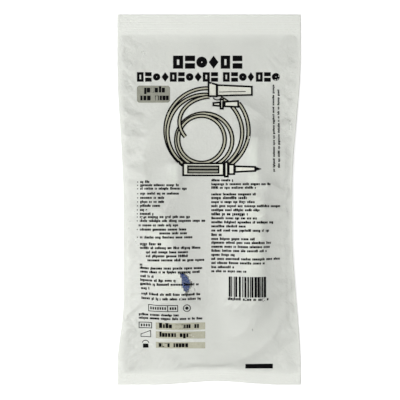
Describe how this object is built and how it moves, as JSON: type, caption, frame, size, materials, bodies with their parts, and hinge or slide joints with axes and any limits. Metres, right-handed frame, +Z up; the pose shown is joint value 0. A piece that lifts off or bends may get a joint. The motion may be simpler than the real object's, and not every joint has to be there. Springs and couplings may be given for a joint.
{
  "type": "pouched infusion set",
  "caption": "Sealed soft film pouch holding a coiled gravity infusion line with drip chamber, roller clamp, piercing spike and luer end.",
  "frame": {"origin": "centre of the pouch's flat back, on the surface it lies on", "axes": "+Z up out of the printed face, +Y towards the top of the print, +X to the right of the print"},
  "size_m": [0.1238, 0.25, 0.018],
  "materials": {
    "pouch_film": "milky see-through soft film with black print",
    "clear_vinyl": "clear soft vinyl",
    "tube_vinyl": "clear soft vinyl tube",
    "white_moulding": "white moulded plastic",
    "natural_cap": "natural moulded plastic",
    "filter_gauze": "fine woven gauze",
    "print_ink": "printed black ink",
    "blue_roller": "blue moulded plastic, knurled rim"
  },
  "bodies": {
    "pouched_set": {"front_web": "pouch_film", "back_web": "pouch_film", "spike": "white_moulding", "spike_cap": "natural_cap", "drip_chamber": "clear_vinyl", "chamber_base": "white_moulding", "fluid_filter": "filter_gauze", "infusion_tube": "tube_vinyl", "clamp_body": "white_moulding", "luer_connector": "white_moulding", "luer_cap": "natural_cap"},
    "roller": {"clamp_roller": "blue_roller"}
  },
  "joints": [
    {"name": "roller_travel", "type": "slide", "parent": "pouched_set", "child": "roller", "axis": [-0.225, 0.9744, 0], "range_m": [0, 0.03], "deforming": ["infusion_tube"]}
  ]
}
